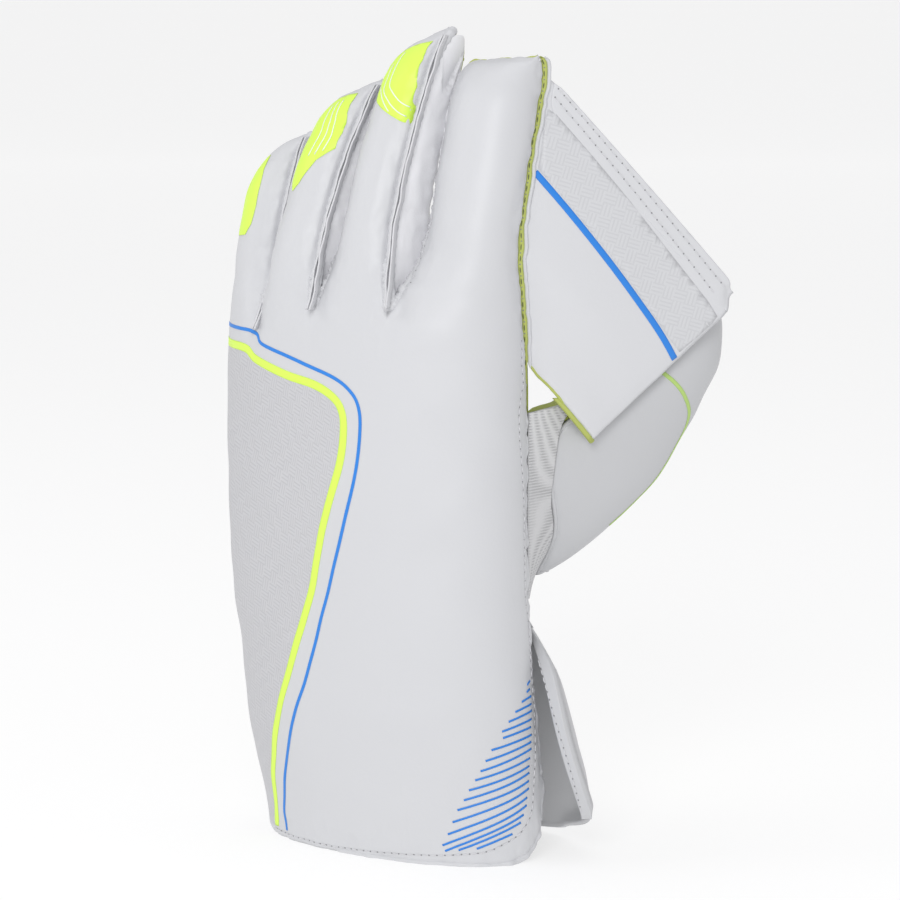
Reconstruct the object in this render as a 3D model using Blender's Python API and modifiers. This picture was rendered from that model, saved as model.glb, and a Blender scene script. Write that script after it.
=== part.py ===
"""Wicketkeeping glove for the left hand, standing on its flared cuff with the fingers up.

The back of the hand faces -Y, the thumb is on the +X side and the palm faces +Y.
Every panel is a sheet laid on one smooth hand form. Panels that are sewn edge to edge
take the form's own normals for their walls, so that two walls meet in a mitre.
"""

import math
from collections import namedtuple
from functools import partial

import bmesh
import bpy
from mathutils import Vector

# Driving sizes, in metres
GLOVE_HEIGHT = 0.300
HAND_WIDTH = 0.124
HAND_DEPTH = 0.068
CROTCH_HEIGHT = 0.196
CUFF_HEIGHT = 0.098
LEATHER = 0.0028
RUBBER = 0.0026
SIDE_WALL = 0.0022
MESH_CLOTH = 0.0014
SEAM_GAP = 0.0009
SEAT_GAP = 0.0004
CORNER_RADIUS = 0.026
RIM_HEIGHT = 0.006

# Seam welts between the fingers
WELT_HEIGHT = 0.0030
WELT_THICKNESS = 0.0014

# Thumb: how far its stall reaches out from the palm, and its girth
THUMB_REACH = 0.080
THUMB_GIRTH = 0.040
THUMB_ROOT = (0.040, 0.028)
THUMB_BEARING = math.radians(50)
THUMB_CROTCH_HEIGHT = 0.157
THUMB_LENGTH = 0.048
THUMB_FOOT_DROP = 0.057
THUMB_TIP_HEIGHT = THUMB_CROTCH_HEIGHT + THUMB_LENGTH
THUMB_FOOT_HEIGHT = THUMB_CROTCH_HEIGHT - THUMB_FOOT_DROP
THUMB_FILLET = 0.006

# Web of the catching pocket
WEB_WALL = 0.0026
WEB_BOW = 0.003
WEB_FOOT_HEIGHT = 0.178
WEB_TOP_HEIGHT = 0.282
HEM_WIDTH = 0.009
HEM_WALL = 0.0010
WEB_PIPING_RADIUS = 0.0011
INDEX_PIPING_DROP = 0.006

# Palm side leaf of the cuff
CUFF_FLARE = 0.019
BINDING_WIDTH = 0.005
BINDING_WALL = 0.0042
CUFF_LIFT = 0.006
# Where the leaf's free edge lies round the hand: height as a share of CUFF_HEIGHT
Edge = namedtuple("Edge", "height degrees")
CUFF_EDGE = [Edge(0.0, 108), Edge(0.25, 102), Edge(0.5, 98), Edge(0.8, 107), Edge(1.0, 114)]

# How round the hand and the fingers are: 1 is an ellipse, lower is boxier
ROUNDNESS = 0.90
FINGER_ROUNDNESS = 0.92
CURL = 1.45
BLEND_HEIGHT = 0.030
DOME_HEIGHT = 0.014
DEGREES_PER_FACE = 15
TIP_WALL = 0.6

HALF_WIDTH = HAND_WIDTH / 2
HALF_DEPTH = HAND_DEPTH / 2

# Hand sections, each a share: height of CROTCH_HEIGHT, half width and shift in x
# of HALF_WIDTH, back depth, palm depth and shift in y of HALF_DEPTH
Section = namedtuple("Section", "height width back palm shift_x shift_y")
HAND_SECTIONS = [
    Section(0.00, 0.935, 0.95, 0.94, 0.150, 0.230),
    Section(0.10, 0.945, 0.97, 0.96, 0.120, 0.190),
    Section(0.26, 0.965, 1.00, 1.00, 0.070, 0.110),
    Section(0.45, 0.985, 1.00, 1.04, 0.020, 0.035),
    Section(0.65, 1.000, 1.00, 1.00, 0.000, 0.015),
    Section(0.89, 1.000, 1.00, 0.96, 0.000, 0.015),
    Section(1.02, 0.970, 0.97, 0.90, 0.008, 0.015),
    Section(1.25, 0.930, 0.90, 0.80, 0.040, 0.200),
]

# Fingers: tip height, slant of the tip and crotch heights as shares of GLOVE_HEIGHT,
# widths, x and lean_x as shares of HALF_WIDTH, depth, y and lean_y of HALF_DEPTH
Finger = namedtuple(
    "Finger",
    "name tip slant half_width half_depth x y lean_x lean_y tip_width crotches hand oval",
)
LITTLE = Finger("little", 0.873, 0.040, 0.194, 0.382, -0.740, -0.141, 0.048, 0.40, 0.62,
                (0.633, 0.623), (-100, -31, 211, 260), (-115, 50, 125, 245))
RING = Finger("ring", 0.937, 0.024, 0.206, 0.412, -0.306, -0.470, 0.130, 0.80, 0.62,
              (0.623, 0.650), (-31, -4, 184, 211), (-72, 50, 125, 233))
MIDDLE = Finger("middle", 1.000, 0.030, 0.214, 0.426, 0.161, -0.374, 0.120, 0.76, 0.62,
                (0.650, 0.653), (-4, 24, 156, 184), (-72, 50, 125, 235))
INDEX = Finger("index", 0.962, 0.006, 0.266, 0.450, 0.728, -0.088, -0.004, 0.60, 0.88,
               (0.653, 0.653), (24, 105, 110, 156), (-68, 112, 124, 235))
FINGERS = [LITTLE, RING, MIDDLE, INDEX]
FINGER_ROOT = 0.687

# Rows up the hand and up each finger, as shares of their heights
HAND_ROWS = [0.0, 0.03, 0.12, 0.24, 0.36, 0.48, 0.60, 0.72, 0.82, 0.92, 1.0]
PALM_ROWS = [0.0, 0.15, 0.30, 0.43, 0.52, 0.55, 0.575, 0.60, 0.70, 0.80, 0.90, 1.0]
FINGER_ROWS = [0.0, 0.12, 0.24, 0.37, 0.51, 0.65, 0.77, 0.86, 0.92, 0.96, 0.985, 1.0]

# Thumb slices: height between the foot and the tip, centre, outer and inner half
# lengths along the bearing as shares of THUMB_REACH, half girth of THUMB_GIRTH
Slice = namedtuple("Slice", "height centre outer inner girth")
THUMB_SLICES = [
    Slice(0.00, 0.10, 0.08, 0.14, 0.13),
    Slice(0.08, 0.15, 0.20, 0.14, 0.22),
    Slice(0.16, 0.17, 0.30, 0.14, 0.32),
    Slice(0.30, 0.13, 0.55, 0.14, 0.42),
    Slice(0.46, 0.11, 0.70, 0.14, 0.45),
    Slice(0.55, 0.20, 0.69, 0.11, 0.45),
    Slice(0.62, 0.42, 0.50, 0.19, 0.45),
    Slice(0.70, 0.66, 0.32, 0.27, 0.44),
    Slice(0.80, 0.72, 0.27, 0.27, 0.42),
    Slice(0.90, 0.74, 0.25, 0.25, 0.38),
    Slice(1.00, 0.75, 0.22, 0.22, 0.34),
]
THUMB_TIP_GIRTH = 0.45
STALL_FROM = math.radians(-90)
STALL_TO = math.radians(95)
STALL_TIP_SPREAD = math.radians(20)

# Corners of the web away from the index finger, in x, y and height over the thumb's crotch
WEB_FOOT_CORNER = Vector((0.0745, 0.0315, THUMB_CROTCH_HEIGHT - 0.006))
WEB_FAR_CORNER = Vector((0.1095, 0.0765, THUMB_CROTCH_HEIGHT + 0.044))


def smoothstep(value):
    """Ease a share from 0 to 1."""
    share = min(max(value, 0.0), 1.0)
    return share * share * (3 - 2 * share)


def lookup(table, height):
    """Read a row of a table at a height, on a smooth curve through its rows."""
    last = len(table) - 1
    index = 0
    while index < last - 1 and table[index + 1].height < height:
        index += 1
    before = table[max(index - 1, 0)]
    low = table[index]
    high = table[index + 1]
    after = table[min(index + 2, last)]
    span = high.height - low.height
    share = min(max((height - low.height) / span, 0.0), 1.0)
    values = []
    for start, left, right, end in zip(before, low, high, after):
        rise_left = (right - start) / (high.height - before.height) * span
        rise_right = (end - left) / (after.height - low.height) * span
        square = share * share
        cube = square * share
        values.append(
            (2 * cube - 3 * square + 1) * left
            + (cube - 2 * square + share) * rise_left
            + (3 * square - 2 * cube) * right
            + (cube - square) * rise_right
        )
    return type(low)(*values)


def rounded(value, roundness):
    """Raise a sine or cosine to the power that makes an oval boxier."""
    return math.copysign(abs(value) ** roundness, value)


def oval_point(angle, half_width, back, palm, roundness):
    """Give x and y on an oval, the angle being taken from the back towards the thumb."""
    across = half_width * rounded(math.sin(angle), roundness)
    depth = back if math.cos(angle) > 0 else palm
    return across, -depth * rounded(math.cos(angle), roundness)


def hand_point(degrees, height):
    """Give a point on the hand form."""
    section = lookup(HAND_SECTIONS, height / CROTCH_HEIGHT)
    x, y = oval_point(
        math.radians(degrees),
        section.width * HALF_WIDTH,
        section.back * HALF_DEPTH,
        section.palm * HALF_DEPTH,
        ROUNDNESS,
    )
    return Vector((x + section.shift_x * HALF_WIDTH, y + section.shift_y * HALF_DEPTH, height))


def upright_hand(degrees, height):
    """Give a point on the hand form, which stands upright just above its rim."""
    point = hand_point(degrees, max(height, RIM_HEIGHT))
    return Vector((point.x, point.y, height))


def mix(first, second, share):
    """Blend two numbers or two points."""
    return first * (1 - share) + second * share


def finger_sector(finger, around):
    """Give hand angles, oval angle and crotch share at a place around a finger.

    A finger without a side wall goes straight on from its front to its back.
    """
    back_from, back_to, palm_from, palm_to = finger.hand
    oval_from, oval_to, oval_palm, oval_end = finger.oval
    little_side, thumb_side = finger.crotches
    around = around % 4
    if oval_end == oval_from + 360 and around > 3:
        around = around - 3 if around < 3.5 else around - 1
    sector = int(around)
    share = around - sector
    if sector == 0:
        crotch = mix(little_side, thumb_side, share)
        angle = mix(oval_from, oval_to, share)
        return mix(back_from, back_to, share), None, 0, angle, crotch
    if sector == 1:
        angle = mix(oval_to, oval_palm, share)
        return back_to, palm_from, share, angle, thumb_side
    if sector == 2:
        crotch = mix(thumb_side, little_side, share)
        angle = mix(oval_palm, oval_end, share)
        return mix(palm_from, palm_to, share), None, 0, angle, crotch
    angle = mix(oval_end, oval_from + 360, share)
    return palm_to, back_from + 360, share, angle, little_side


def finger_blend(finger, around, rise):
    """Tell how far a place on a finger has left the hand form."""
    crotch = finger_sector(finger, around)[4] * GLOVE_HEIGHT
    return smoothstep(rise * (finger.tip * GLOVE_HEIGHT - crotch) / BLEND_HEIGHT)


def finger_point(finger, around, rise):
    """Give a point on a finger: around runs over back, thumb side, palm, little side."""
    first, second, between, degrees, crotch = finger_sector(finger, around)
    low = crotch * GLOVE_HEIGHT
    top = finger.tip * GLOVE_HEIGHT
    height = mix(low, top, rise)
    hand = hand_point(first, height)
    if second is not None:
        hand = mix(hand, hand_point(second, height), between)

    lean = max((height / GLOVE_HEIGHT - FINGER_ROOT) / (finger.tip - FINGER_ROOT), 0.0) ** CURL
    dome = max((height - top + DOME_HEIGHT) / DOME_HEIGHT, 0.0)
    swell = math.sqrt(max(1 - dome * dome, 0.0))
    depth = mix(SEAM_GAP / 2, finger.half_depth * HALF_DEPTH, swell)
    width = finger.half_width * HALF_WIDTH * mix(finger.tip_width, 1.0, math.sqrt(swell))
    angle = math.radians(degrees)
    x, y = oval_point(angle, width, depth, depth, FINGER_ROUNDNESS)
    x += (finger.x + finger.lean_x * lean) * HALF_WIDTH
    y += (finger.y + finger.lean_y * lean) * HALF_DEPTH
    slant = finger.slant * GLOVE_HEIGHT * smoothstep((rise - 0.55) / 0.45)
    drop = slant * (1 - math.sin(angle)) / 2
    own = Vector((x, y, height - drop))
    return mix(hand, own, finger_blend(finger, around, rise))


def steps(first, last, count):
    """List evenly spaced values with both ends."""
    return [mix(first, last, index / count) for index in range(count + 1)]


def on_form(form, across, up, across_step, up_step):
    """Give a point on a form together with the form's outward normal there."""
    here = form(across, up)
    ahead = (form(across + across_step, up) - here).normalized()
    behind = (here - form(across - across_step, up)).normalized()
    rise = form(across, up + up_step) - form(across, up - up_step)
    return here, (ahead + behind).cross(rise).normalized()


def trimmed(row, start, end):
    """Pull the two ends of a row inwards by their seam clearances."""
    places = list(row)
    first = places[1][0] - places[0][0]
    last = places[-2][0] - places[-1][0]
    start = min(start, first.length * 0.7)
    end = min(end, last.length * 0.7)
    places[0] = (places[0][0] + first.normalized() * start, places[0][1])
    places[-1] = (places[-1][0] + last.normalized() * end, places[-1][1])
    return places


def make_material(name, colour, roughness):
    """Make one piece's own plain material."""
    material = bpy.data.materials.new(name)
    material.use_nodes = True
    shader = material.node_tree.nodes["Principled BSDF"]
    shader.inputs["Base Color"].default_value = (*colour, 1.0)
    shader.inputs["Roughness"].default_value = roughness
    shader.inputs["Metallic"].default_value = 0.0
    return material


def grid_quads(grid):
    """List the quads of a grid, each by its four places in order."""
    for low, high in zip(grid, grid[1:]):
        for column in range(len(low) - 1):
            yield low[column], low[column + 1], high[column + 1], high[column]


def make_panel(name, grids, wall, colour, roughness):
    """Make a fitted panel from grids of points and normals, with its edges closed."""
    shape = bmesh.new()
    corners = {}
    edges = set()

    def corner(place):
        point, normal = place
        key = tuple(round(value, 6) for value in point)
        if key not in corners:
            inner = point - normal * wall
            corners[key] = (shape.verts.new(point), shape.verts.new(inner))
        return key

    for grid in grids:
        for quad in grid_quads(grid):
            keys = [corner(place) for place in quad]
            shape.faces.new([corners[key][0] for key in keys])
            shape.faces.new([corners[key][1] for key in reversed(keys)])
            edges.update(zip(keys, keys[1:] + keys[:1]))
    for start, end in sorted(edges):
        if (end, start) not in edges:
            rim = (corners[end][0], corners[start][0], corners[start][1], corners[end][1])
            shape.faces.new(rim)
    return finish_panel(name, shape, colour, roughness)


def make_sheet(name, grid, wall, colour, roughness, centred=False):
    """Make a loose panel from a grid of points, with a Solidify wall behind it."""
    shape = bmesh.new()
    rows = [[shape.verts.new(point) for point in row] for row in grid]
    for quad in grid_quads(rows):
        shape.faces.new(quad)
    panel = finish_panel(name, shape, colour, roughness)
    solid = panel.modifiers.new("wall", "SOLIDIFY")
    solid.thickness = wall
    solid.offset = 0.0 if centred else -1.0
    return panel


def finish_panel(name, shape, colour, roughness):
    """Turn a bmesh into a named object with its own material."""
    mesh = bpy.data.meshes.new(name)
    shape.to_mesh(mesh)
    shape.free()
    mesh.shade_smooth()
    mesh.materials.append(make_material(name, colour, roughness))
    panel = bpy.data.objects.new(name, mesh)
    glove.objects.link(panel)
    return panel


def sector_columns(finger, sector):
    """Count the faces across one sector of a finger."""
    turn = finger.oval[sector + 1] - finger.oval[sector]
    return max(round(turn / DEGREES_PER_FACE), 3)


def finger_row(finger, first, last, count, rise):
    """Lay one row of places across a sector of a finger, trimmed at its two seams."""
    row = []
    for around in steps(first, last, count):
        point, normal = on_form(partial(finger_point, finger), around, rise, 0.02, 0.01)
        thinned = mix(1.0, TIP_WALL, smoothstep((rise - 0.8) / 0.2))
        row.append((point, (UP if rise == 1 else normal) * thinned))
    return trimmed(row, SEAM_GAP / 2, SEAM_GAP / 2)


def finger_rows(finger, first, last, count, crotch_row):
    """Lay rows up one sector of a finger, starting on the hand's own top row."""
    rows = [finger_row(finger, first, last, count, rise) for rise in FINGER_ROWS[1:]]
    return [crotch_row, *rows]


def corner_height(distance, radius):
    """Give the height of a rounded corner's edge at a distance from the side edge."""
    inside = max(radius - distance, 0.0)
    return radius - math.sqrt(max(radius * radius - inside * inside, 0.0))


def back_panel():
    """Back of the hand, cuff and fingers in one white sheet with three finger slits."""
    columns = []
    for finger in FINGERS:
        count = sector_columns(finger, 0)
        for share in steps(0, 1, count)[(finger is not LITTLE):]:
            degrees = mix(finger.hand[0], finger.hand[1], share)
            crotch = mix(finger.crotches[0], finger.crotches[1], share) * GLOVE_HEIGHT
            columns.append((degrees, crotch))
    edge = hand_point(columns[-1][0], CORNER_RADIUS)
    rows = []
    for share in HAND_ROWS:
        row = []
        for degrees, crotch in columns:
            distance = (hand_point(degrees, CORNER_RADIUS) - edge).length
            foot = corner_height(distance, CORNER_RADIUS) if degrees > 45 else 0.0
            height = mix(foot, crotch, share)
            point, normal = on_form(upright_hand, degrees, height, 1.0, 0.001)
            row.append((point, normal))
        rows.append(trimmed(row, SEAM_GAP / 2, SEAM_GAP / 2))
    grids = [rows]
    start = 0
    for finger in FINGERS:
        count = sector_columns(finger, 0)
        crotch_row = rows[-1][start:start + count + 1]
        grids.append(finger_rows(finger, 0, 1, count, crotch_row))
        start += count
    return make_panel("back_panel", grids, LEATHER, WHITE, 0.45)


def thumb_point(angle, height):
    """Give a point on the thumb form: angle 0 points away from the palm."""
    share = (height - THUMB_FOOT_HEIGHT) / (THUMB_TIP_HEIGHT - THUMB_FOOT_HEIGHT)
    cut = lookup(THUMB_SLICES, share)
    dome = max((height - THUMB_TIP_HEIGHT + DOME_HEIGHT) / DOME_HEIGHT, 0.0)
    swell = math.sqrt(max(1 - dome * dome, 0.0))
    reach = (cut.outer if math.cos(angle) > 0 else cut.inner) * THUMB_REACH
    reach = mix(SEAM_GAP / 2, reach, swell)
    along = cut.centre * THUMB_REACH + reach * rounded(math.cos(angle), FINGER_ROUNDNESS)
    girth = cut.girth * THUMB_GIRTH * mix(THUMB_TIP_GIRTH, 1.0, math.sqrt(swell))
    across = girth * rounded(math.sin(angle), FINGER_ROUNDNESS)
    x = THUMB_ROOT[0] + along * math.cos(THUMB_BEARING) - across * math.sin(THUMB_BEARING)
    y = THUMB_ROOT[1] + along * math.sin(THUMB_BEARING) + across * math.cos(THUMB_BEARING)
    return Vector((x, y, height))


def stall_spread(height):
    """Tell how much further round the stall reaches once it has left the palm."""
    rise = (height - THUMB_CROTCH_HEIGHT) / (THUMB_TIP_HEIGHT - THUMB_CROTCH_HEIGHT)
    return STALL_TIP_SPREAD * smoothstep(rise * 2)


def thumb_heights(low):
    """List heights up the thumb from its crotch or its foot, close together at its tip."""
    crotch = THUMB_CROTCH_HEIGHT
    heights = [mix(crotch, THUMB_TIP_HEIGHT, math.sin(math.pi / 2 * share)) for share in steps(0, 1, 9)]
    if low < crotch:
        heights = steps(low, crotch, 7)[:-1] + heights
    return heights


def thumb_row(first, last, count, height):
    """Lay one row of places round a part of the thumb, trimmed at its two seams."""
    row = []
    for angle in steps(first, last, count):
        point, normal = on_form(thumb_point, angle, height, 0.03, 0.0005)
        at_tip = height > THUMB_TIP_HEIGHT - SEAM_GAP / 2
        row.append((point, UP * TIP_WALL if at_tip else normal))
    return trimmed(row, SEAM_GAP, SEAM_GAP)


def thumb_stall():
    """White outer half of the thumb, open towards the hand below its crotch."""
    rows = []
    for height in thumb_heights(THUMB_FOOT_HEIGHT):
        spread = stall_spread(height)
        rows.append(thumb_row(STALL_FROM - spread, STALL_TO + spread, 14, height))
    return make_panel("thumb_stall", [rows], LEATHER, WHITE, 0.45)


def thumb_facing():
    """Rubber face of the thumb, turned to the palm above the thumb's crotch."""
    rows = []
    for height in thumb_heights(THUMB_CROTCH_HEIGHT):
        spread = stall_spread(height)
        turn = STALL_FROM - spread + 2 * math.pi
        rows.append(thumb_row(STALL_TO + spread, turn, 10, height))
    return make_panel("thumb_facing", [rows], RUBBER, LIME, 0.7)


def palm_point(share, height):
    """Give a point across the palm, from the thumb's seam to the little finger's side."""
    above = smoothstep((height - THUMB_CROTCH_HEIGHT) / (0.7 * (CROTCH_HEIGHT - THUMB_CROTCH_HEIGHT)))
    bounds = [finger.hand[3] for finger in reversed(FINGERS)]
    low_bounds = [172, 190, 213, 260]
    edge = INDEX.hand[2]
    ends = [edge] + [mix(low, high, above) for low, high in zip(low_bounds, bounds)]
    sector = min(int(share * 4), 3)
    within = share * 4 - sector
    degrees = mix(ends[sector], ends[sector + 1], within)
    point = hand_point(degrees, height)
    if sector > 0:
        return point
    seam = thumb_point(STALL_TO, max(min(height, THUMB_CROTCH_HEIGHT), THUMB_FOOT_HEIGHT))
    seam.z = height
    slope = mix(seam, hand_point(ends[1], height), within)
    lift = smoothstep((THUMB_CROTCH_HEIGHT - height) / THUMB_FILLET)
    return mix(point, slope, lift)


def palm_rubber():
    """Rubber palm with the four finger fronts, starting at the cuff's seam."""
    counts = [sector_columns(finger, 2) for finger in reversed(FINGERS)]
    shares = [0.0]
    for sector, count in enumerate(counts):
        shares += [(sector + step / count) / 4 for step in range(1, count + 1)]
    foot = CUFF_HEIGHT + SEAM_GAP
    rows = []
    for rise in PALM_ROWS:
        row = []
        for share in shares:
            sector = min(int(share * 4), 3)
            finger = FINGERS[3 - sector]
            crotch = mix(finger.crotches[1], finger.crotches[0], share * 4 - sector)
            height = mix(foot, crotch * GLOVE_HEIGHT, rise)
            place = on_form(palm_point, share, height, 0.01, 0.001)
            if share == 0 and height < THUMB_CROTCH_HEIGHT:
                place = (place[0], on_form(thumb_point, STALL_TO, height, 0.03, 0.0005)[1])
            row.append(place)
        rows.append(trimmed(row, SEAM_GAP * 0.8, SEAM_GAP / 2))
    grids = [rows]
    start = 0
    for finger, count in zip(reversed(FINGERS), counts):
        crotch_row = rows[-1][start:start + count + 1]
        grids.append(finger_rows(finger, 2, 3, count, crotch_row))
        start += count
    return make_panel("palm_rubber", grids, RUBBER, LIME, 0.7)


def finger_gusset(low_finger, high_finger):
    """White side walls of two neighbouring fingers, one strip folded at their crotch."""
    count = 6
    crotch = [(finger_point(low_finger, around, 0), UP) for around in steps(2, 1, count)]
    rows = []
    for rise in reversed(FINGER_ROWS[1:-2]):
        rows.append(finger_row(low_finger, 1, 2, count, rise)[::-1])
    rows.append(trimmed(crotch, LEATHER + SEAM_GAP, LEATHER + SEAM_GAP))
    for rise in FINGER_ROWS[1:-2]:
        rows.append(finger_row(high_finger, 3, 4, count, rise))
    name = low_finger.name + "_" + high_finger.name + "_gusset"
    return make_panel(name, [rows], SIDE_WALL, WHITE, 0.5)


def finger_welt(finger):
    """Raised seam along the thumb side of a finger's back, from its crotch to its tip."""
    out = Vector((0.25, -0.97, 0.0))
    rows = []
    for rise in [0.04, *FINGER_ROWS[1:-2]]:
        seam, normal = on_form(partial(finger_point, finger), 1, rise, 0.02, 0.01)
        open_slit = smoothstep(rise / 0.15)
        normal = mix(Vector((0.0, -1.0, 0.0)), normal, open_slit).normalized()
        clear = SEAT_GAP * (3 - 2 * open_slit) + WELT_THICKNESS / 2
        foot = seam + normal * clear
        rows.append([foot, foot + out * WELT_HEIGHT])
    return make_sheet(finger.name + "_welt", rows, WELT_THICKNESS, WHITE, 0.5, centred=True)


def index_edge(around, height):
    """Give a point on the thumb side edge of the hand and the index finger."""
    low = INDEX.crotches[1] * GLOVE_HEIGHT
    if height <= low:
        return hand_point(mix(INDEX.hand[1], INDEX.hand[2], around - 1), height)
    return finger_point(INDEX, around, (height - low) / (INDEX.tip * GLOVE_HEIGHT - low))


def index_piping():
    """Narrow rubber edging between the index finger's back and its front."""
    rows = []
    low = WEB_FOOT_HEIGHT - 0.006
    top = INDEX.tip * GLOVE_HEIGHT - INDEX_PIPING_DROP
    for share in steps(0, 1, 14):
        height = mix(low, top, math.sin(math.pi / 2 * share))
        row = [on_form(index_edge, around, height, 0.02, 0.0005) for around in (1.0, 1.5, 2.0)]
        rows.append(trimmed(row, SEAM_GAP / 2, SEAM_GAP / 2))
    return make_panel("index_piping", [rows], LEATHER, LIME, 0.6)


def web_point(across, up, proud=0.0):
    """Give a point on the web: across leaves the index finger, up climbs its edge."""
    height = mix(WEB_FOOT_HEIGHT, WEB_TOP_HEIGHT, up)
    inner = index_edge(1.4, height)
    outer = mix(WEB_FOOT_CORNER, WEB_FAR_CORNER, up)
    away = Vector((outer.x - inner.x, outer.y - inner.y, 0.0)).normalized()
    front = Vector((away.y, -away.x, 0.0))
    inner = inner + away * SEAM_GAP + front * WEB_WALL / 2
    bow = WEB_BOW * 4 * across * (1 - across)
    return mix(inner, outer, across) + front * (bow + proud)


def thumb_web():
    """White web that spans the index finger and the thumb."""
    rows = [[web_point(across, up) for across in steps(0, 1, 8)] for up in steps(0, 1, 10)]
    return make_sheet("thumb_web", rows, WEB_WALL, WHITE, 0.45)


def web_hem():
    """Folded hem along the web's outer edge, stitched on its front."""
    edge = (web_point(0.5, 1) - web_point(0.5, 0)).length
    low = 1 - HEM_WIDTH / edge
    proud = SEAT_GAP + HEM_WALL
    rows = [
        [web_point(across, up, proud) for across in steps(0.02, 1, 10)]
        for up in (low, mix(low, 1, 0.5), 1.0)
    ]
    return make_sheet("web_hem", rows, HEM_WALL, WHITE, 0.45)


def web_piping():
    """Thin rubber cord along the web's lower edge, down to the thumb."""
    curve = bpy.data.curves.new("web_piping", "CURVE")
    curve.dimensions = "3D"
    curve.bevel_depth = WEB_PIPING_RADIUS
    curve.bevel_resolution = 2
    curve.use_fill_caps = True
    path = curve.splines.new("POLY")
    shares = steps(0.16, 0.98, 8)
    path.points.add(len(shares) - 1)
    drop = WEB_PIPING_RADIUS + SEAT_GAP + WEB_WALL / 4
    for place, across in zip(path.points, shares):
        point = web_point(across, 0, -WEB_WALL / 2) - Vector((0.35, 0.25, 0.9)) * drop
        place.co = (*point, 1.0)
    curve.materials.append(make_material("web_piping", LIME, 0.6))
    cord = bpy.data.objects.new("web_piping", curve)
    glove.objects.link(cord)
    return cord


def mesh_gusset():
    """Knitted air mesh between the back's edge and the thumb's seam."""
    foot = CUFF_HEIGHT - 0.004
    top = THUMB_CROTCH_HEIGHT - LEATHER
    rows = []
    for rise in steps(0, 1, 9):
        back = hand_point(INDEX.hand[1], mix(foot, top, rise))
        seam = thumb_point(STALL_FROM, mix(THUMB_FOOT_HEIGHT, top, rise))
        span = (seam - back).length
        shares = steps(SEAM_GAP / span, 1 - SEAT_GAP / span, 5)
        rows.append([mix(back, seam, share) for share in shares])
    return make_sheet("mesh_gusset", rows, MESH_CLOTH, GREY, 0.9)


def cuff_point(share, height):
    """Give a point on the palm side leaf of the cuff, which flares at its thumb side."""
    start = lookup(CUFF_EDGE, height / CUFF_HEIGHT).degrees
    degrees = mix(start, LITTLE.hand[3], share)
    plain = upright_hand(degrees, height)
    drop = 1 - height / CUFF_HEIGHT
    spread = CUFF_FLARE * math.sin(math.pi / 2 * drop) * (1 - smoothstep(share / 0.75))
    turn = math.radians(degrees - 8)
    plain += Vector((math.sin(turn), -math.cos(turn), 0.0)) * spread
    join = smoothstep((height / CUFF_HEIGHT - 0.72) / 0.28)
    seam = palm_point(share, CUFF_HEIGHT)
    seam.z = height
    return mix(plain, seam, join)


def cuff_grid(shares, rows):
    """Lay a grid on the cuff leaf, with its thumb side corner rounded."""
    edge = cuff_point(0, CORNER_RADIUS)
    grid = []
    for rise in rows:
        row = []
        for share in shares:
            distance = (cuff_point(share, CORNER_RADIUS) - edge).length
            foot = corner_height(distance, CORNER_RADIUS * 0.8) if share < 0.4 else 0.0
            foot += CUFF_LIFT * (1 - smoothstep(share / 0.5))
            height = mix(foot, CUFF_HEIGHT, rise)
            point, normal = on_form(cuff_point, share, height, 0.01, 0.001)
            if rise == 0:
                normal = Vector((normal.x, normal.y, 0.0)).normalized()
            row.append((point, normal))
        grid.append(row)
    return grid


def palm_cuff():
    """White leaf of the cuff on the palm side, and the bound edge it opens along."""
    width = (cuff_point(0.25, 0.05) - cuff_point(0, 0.05)).length * 4
    bound = BINDING_WIDTH / width
    rise = [0.0, 0.06, 0.18, 0.34, 0.5, 0.66, 0.8, 0.9, 1.0]
    leaf = cuff_grid(steps(bound, 1, 22), rise)
    leaf = [trimmed(row, SEAM_GAP, SEAM_GAP / 2) for row in leaf]
    make_panel("palm_cuff", [leaf], LEATHER, WHITE, 0.5)
    band = cuff_grid(steps(0, bound, 2), rise[:-2])
    band = [trimmed(row, 0.0, SEAM_GAP) for row in band]
    return make_panel("palm_cuff_binding", [band], BINDING_WALL, WHITE, 0.5)


def stand_on_floor():
    """Move every piece so that the glove's box is centred over the origin on the floor."""
    bpy.context.view_layer.update()
    graph = bpy.context.evaluated_depsgraph_get()
    corners = []
    for piece in glove.objects:
        finished = piece.evaluated_get(graph)
        corners += [corner.co.copy() for corner in finished.to_mesh().vertices]
        finished.to_mesh_clear()
    low = Vector([min(corner[axis] for corner in corners) for axis in range(3)])
    high = Vector([max(corner[axis] for corner in corners) for axis in range(3)])
    middle = (low + high) / 2
    for piece in glove.objects:
        piece.location = (-middle.x, -middle.y, -low.z)


UP = Vector((0.0, 0.0, 1.0))
WHITE = (0.86, 0.86, 0.87)
LIME = (0.62, 0.68, 0.10)
GREY = (0.55, 0.55, 0.56)

for old in list(bpy.data.objects):
    bpy.data.objects.remove(old)

glove = bpy.data.collections.new("wicketkeeping_glove")
bpy.context.scene.collection.children.link(glove)

back_panel()
palm_rubber()
for lower, upper in zip(FINGERS, FINGERS[1:]):
    finger_gusset(lower, upper)
for keeper_finger in (LITTLE, RING, MIDDLE):
    finger_welt(keeper_finger)
index_piping()
thumb_stall()
thumb_facing()
mesh_gusset()
thumb_web()
web_hem()
web_piping()
palm_cuff()
stand_on_floor()
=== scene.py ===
"""Looks of a left hand wicketkeeping glove: white leather, lime rubber, prints and stitching."""

import math
from functools import partial

import bmesh
import bpy
from mathutils import Matrix, Vector, noise
from mathutils.bvhtree import BVHTree
from mathutils.kdtree import KDTree


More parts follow.
